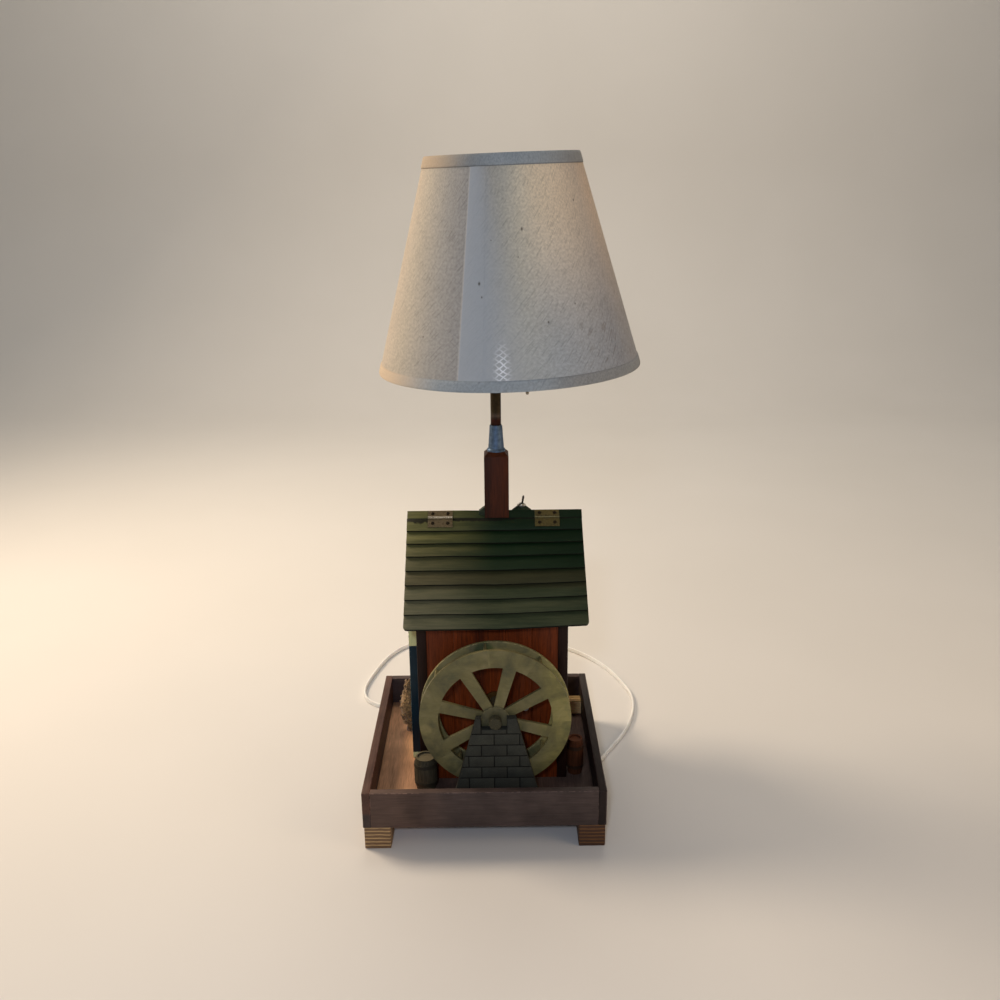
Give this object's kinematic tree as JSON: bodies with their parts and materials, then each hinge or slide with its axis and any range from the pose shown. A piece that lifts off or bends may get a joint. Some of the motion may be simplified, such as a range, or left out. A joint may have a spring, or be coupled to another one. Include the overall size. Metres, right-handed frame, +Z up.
{
  "type": "rotating motion lamp",
  "caption": "Table lamp shaped as a water mill: a tray on feet, a mill house with a hinged roof, a motor-driven wheel on a brick pier, and a pull-chain lamp with a tapered shade.",
  "frame": {"origin": "on the table under the middle of the tray and shade footprint", "axes": "+Z up, -Y towards the water wheel and the lid, +X to the right of someone facing the wheel"},
  "size_m": [0.3481, 0.4821, 0.6566],
  "materials": {
    "tray_wood": "stained and varnished, satin",
    "foot_wood": "cut plywood edge, stained",
    "plank_wood": "stained boards, satin",
    "corner_wood": "dark stained",
    "roof_wood": "dark green stain under varnish",
    "post_wood": "dark stained",
    "wheel_wood": "weathered stain",
    "pier_stone": "matte, scored joints",
    "moss": "dried moss, coarse",
    "door_paint": "blue paint over wood",
    "zinc": "dull zinc grey",
    "pipe_steel": "aged",
    "brass": "plain",
    "socket_plastic": "moulded",
    "chain_metal": "tarnished",
    "bulb_metal": "plain",
    "bulb_glass": "frosted",
    "shade_cloth": "woven cloth on a stiff liner",
    "trim_cloth": "woven binding",
    "frame_wire": "plated wire",
    "drive_metal": "plain",
    "switch_metal": "bright",
    "cord_plastic": "white flexible vinyl"
  },
  "bodies": {
    "mill": {"barrel_left": "wheel_wood", "barrel_right": "wheel_wood", "bulb_base": "bulb_metal", "bulb_glass": "bulb_glass", "cord_coil": "cord_plastic", "cord_tube": "cord_plastic", "corner_posts": "corner_wood", "crate": "wheel_wood", "door_frame": "corner_wood", "door_panel": "door_paint", "feet": "foot_wood", "finial": "brass", "gear_motor": "drive_metal", "harp": "brass", "harp_saddle": "pipe_steel", "hinge_leaves_upper": "brass", "hinge_screws_upper": "brass", "house_wiring": "cord_plastic", "lamp_pipe": "pipe_steel", "moss_tree": "moss", "motor_fixings": "drive_metal", "neck_collar": "zinc", "pipe_nut": "pipe_steel", "plug": "cord_plastic", "post": "post_wood", "rear_clapboards": "roof_wood", "rear_deck": "roof_wood", "ridge_cap": "roof_wood", "ridge_filler": "roof_wood", "socket_body": "socket_plastic", "socket_cap": "brass", "socket_shell": "brass", "stone_pier": "pier_stone", "strain_relief": "cord_plastic", "toggle_switch": "switch_metal", "tray_floor": "tray_wood", "tray_rail_front": "tray_wood", "tray_rail_left": "tray_wood", "tray_rail_rear": "tray_wood", "tray_rail_right": "tray_wood", "wall_bush": "brass", "wall_front": "plank_wood", "wall_left": "plank_wood", "wall_rear": "plank_wood", "wall_right": "plank_wood"},
    "lid": {"lid_deck": "roof_wood", "lid_clapboards": "roof_wood", "hinge_leaves_lower": "brass", "hinge_screws_lower": "brass"},
    "wheel": {"wheel_front": "wheel_wood", "wheel_rear_rim": "wheel_wood", "wheel_paddles": "wheel_wood", "wheel_hub_disc": "wheel_wood", "wheel_axle": "wheel_wood", "wheel_drive": "drive_metal"},
    "shade": {"shade_cone": "shade_cloth", "shade_trims": "trim_cloth", "shade_frame": "frame_wire"},
    "pull_chain": {"pull_chain": "chain_metal"},
    "toggle_lever": {"toggle_lever": "switch_metal"}
  },
  "joints": [
    {"name": "lid_hinge", "type": "hinge", "parent": "mill", "child": "lid", "pos_m": [-0.005, 0.00009, 0.29919], "axis": [-1, 0, 0], "range_deg": [0, 134.5]},
    {"name": "wheel_spin", "type": "hinge", "parent": "mill", "child": "wheel", "pos_m": [-0.0065, -0.09, 0.1218], "axis": [0, 1, 0], "continuous": true},
    {"name": "shade_turn", "type": "hinge", "parent": "mill", "child": "shade", "pos_m": [0.0059, 0.0082, 0.641], "axis": [-0.0302, -0.0099, 0.9995], "continuous": true},
    {"name": "chain_pull", "type": "slide", "parent": "mill", "child": "pull_chain", "axis": [0, 0, -1], "range_m": [0, 0.01], "stiffness_N_per_m": 150, "springref_m": -0.002},
    {"name": "toggle_tip", "type": "hinge", "parent": "mill", "child": "toggle_lever", "pos_m": [0.0234, 0.0177, 0.305], "axis": [0, -1, 0], "range_deg": [0, 20]}
  ]
}
